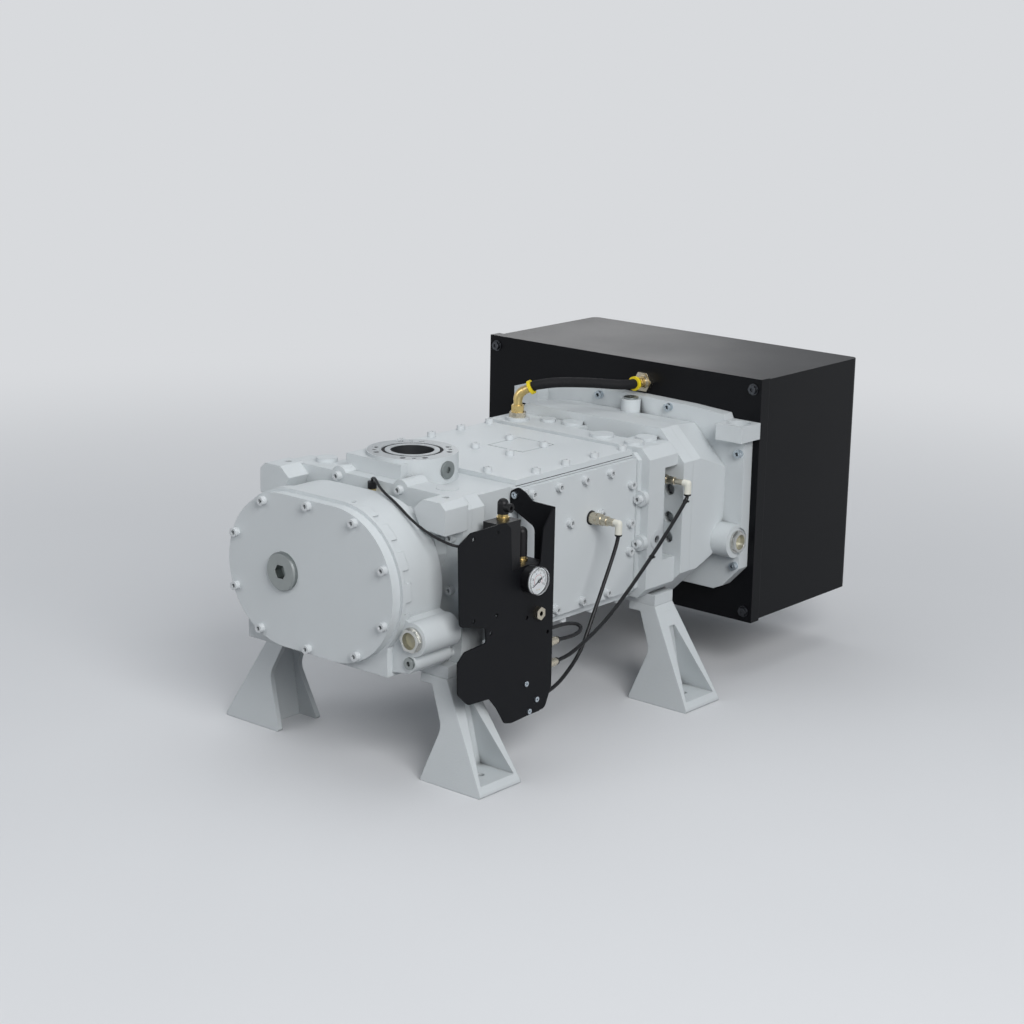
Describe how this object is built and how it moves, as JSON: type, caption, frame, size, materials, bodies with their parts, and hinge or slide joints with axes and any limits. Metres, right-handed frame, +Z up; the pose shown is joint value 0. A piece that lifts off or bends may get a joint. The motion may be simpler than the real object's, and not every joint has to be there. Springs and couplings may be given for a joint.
{
  "type": "dry screw vacuum pump",
  "caption": "Dry screw vacuum pump with round top inlet, gear case in front, boxed motor behind, gas panel with gauge, and four splayed feet.",
  "frame": {"origin": "on the floor, in the middle of the four foot bolt holes", "axes": "+X across the pump to the gas panel side, +Y from the front cover to the motor, +Z up"},
  "size_m": [0.581, 1.0545, 0.489],
  "materials": {
    "casting": "satin light grey enamel",
    "screw_white": "painted over with the castings",
    "gasket": "dark fibre and rubber",
    "zinc": "zinc plated",
    "nickel": "nickel plated",
    "brass": "machined brass",
    "steel": "machined steel",
    "stack": "cast frame with laminated stack",
    "ring": "polished",
    "glass": "clear",
    "lens": "clear",
    "black_paint": "fine textured black powder coat",
    "black_plastic": "matte black",
    "hose": "matte black rubber",
    "yellow": "yellow plastic",
    "cream": "off-white plastic",
    "dial": "white print"
  },
  "bodies": {
    "pump": {"rotor_casing": "casting", "jacket_gaskets": "gasket", "jacket_top_cover": "casting", "jacket_right_cover": "casting", "jacket_left_cover": "casting", "jacket_bottom_cover": "casting", "jacket_screws": "screw_white", "inlet_o_ring": "gasket", "suction_end_plate": "casting", "end_plate_screws": "screw_white", "front_gear_case": "casting", "front_cover": "casting", "front_cover_screws": "screw_white", "front_shaft_plug": "zinc", "sight_glass_rings": "ring", "sight_glasses": "glass", "socket_plugs": "zinc", "discharge_end_plate": "casting", "motor_adaptor": "casting", "zinc_screws": "zinc", "foot_front_right": "casting", "foot_front_left": "casting", "foot_rear_right": "casting", "foot_rear_left": "casting", "foot_screws": "screw_white", "box_front_panel": "black_paint", "box_hood": "black_paint", "box_screws": "zinc", "motor_stator": "stack", "hose_nuts": "nickel", "hose_fittings": "brass", "hose_collars": "yellow", "water_hose": "hose", "gas_panel": "black_paint", "gas_valve_block": "black_plastic", "gauge_case": "black_paint", "gauge_dial": "dial", "gauge_lens": "lens", "panel_bulkhead": "nickel", "panel_elbows": "black_plastic", "panel_elbow_rings": "brass", "purge_valves": "nickel", "purge_elbows": "cream", "panel_push_fittings": "nickel", "purge_tube_front": "hose", "purge_tube_rear": "hose", "panel_link_tube": "hose", "temperature_sensor": "brass", "sensor_cap": "black_plastic", "sensor_cable": "hose", "shaft_bearings": "steel", "shaft_seals": "gasket"},
    "drive_shaft": {"drive_rotor": "steel", "drive_rotor_shaft": "steel", "drive_timing_gear": "steel", "motor_rotor": "steel"},
    "driven_shaft": {"driven_rotor": "steel", "driven_rotor_shaft": "steel", "driven_timing_gear": "steel"},
    "pointer": {"gauge_pointer": "black_plastic"}
  },
  "joints": [
    {"name": "drive_shaft_spin", "type": "hinge", "parent": "pump", "child": "drive_shaft", "pos_m": [-0.049, 0, 0.283], "axis": [0, 1, 0], "continuous": true},
    {"name": "driven_shaft_spin", "type": "hinge", "parent": "pump", "child": "driven_shaft", "pos_m": [0.049, 0, 0.283], "axis": [0, 1, 0], "continuous": true},
    {"name": "gauge_pointer_swing", "type": "hinge", "parent": "pump", "child": "pointer", "pos_m": [0.243, -0.154, 0.284], "axis": [-1, 0, 0], "range_deg": [0, 240]}
  ],
  "couplings": [
    {"joint": "driven_shaft_spin", "follows": "drive_shaft_spin", "ratio": -1}
  ]
}
